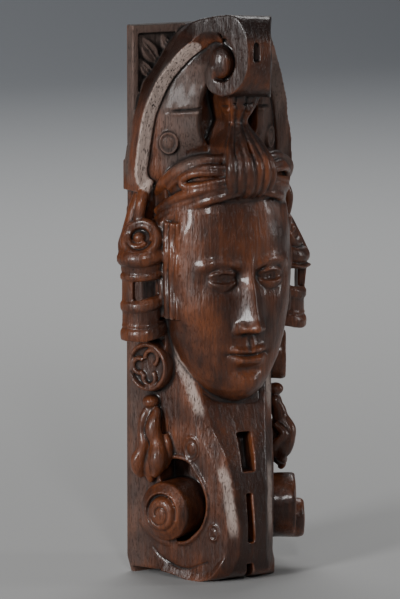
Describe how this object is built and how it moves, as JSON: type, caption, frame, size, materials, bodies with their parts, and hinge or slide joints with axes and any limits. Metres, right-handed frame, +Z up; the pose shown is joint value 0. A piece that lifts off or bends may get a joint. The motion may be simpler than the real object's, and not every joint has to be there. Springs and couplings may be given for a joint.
{
  "type": "carved corbel bracket",
  "caption": "Carved wooden corbel: hooded volute over a turbaned mask with ear lappets and tassels, above a tapering scroll.",
  "frame": {"origin": "on the flat back face's centre line, 0.25 m above the foot", "axes": "+Z up along the bracket's height, +Y out of its back into the wall, so the mask looks along -Y, +X to the mask's left"},
  "size_m": [0.1908, 0.1085, 0.4959],
  "materials": {
    "waxed_wood": "dark waxed hardwood, worn paler on the raised edges and nearly black in the hollows"
  },
  "bodies": {
    "root": {"carved_corbel": "waxed_wood"}
  },
  "joints": []
}
